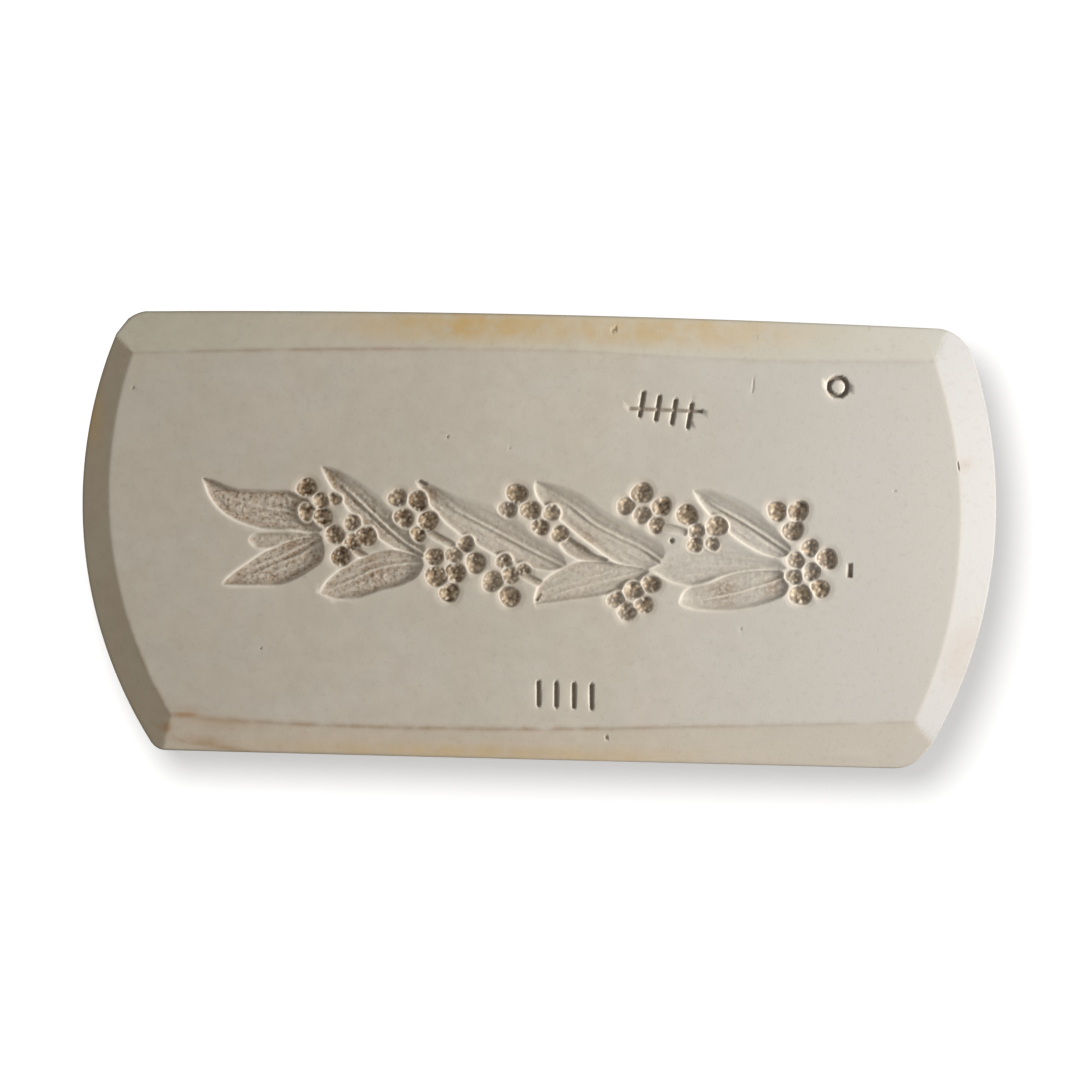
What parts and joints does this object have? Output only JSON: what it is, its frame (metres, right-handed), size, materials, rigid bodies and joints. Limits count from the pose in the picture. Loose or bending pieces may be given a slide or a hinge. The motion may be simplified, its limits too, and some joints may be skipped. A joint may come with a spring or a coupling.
{
  "type": "sprig mold",
  "caption": "Flat plaster slab with bulging bevelled ends and a sunk leaf-and-berry spray, for pressing clay relief ornament.",
  "frame": {"origin": "middle of the flat underside", "axes": "+Z out of the carved face, +X along the slab towards the stalk end of the spray, +Y across it"},
  "size_m": [0.15, 0.0731, 0.02],
  "materials": {
    "plaster": "dry matte cast plaster, warm grey-white, lightly stained ochre along the edges and in the carving"
  },
  "bodies": {
    "root": {"mould_block": "plaster"}
  },
  "joints": []
}
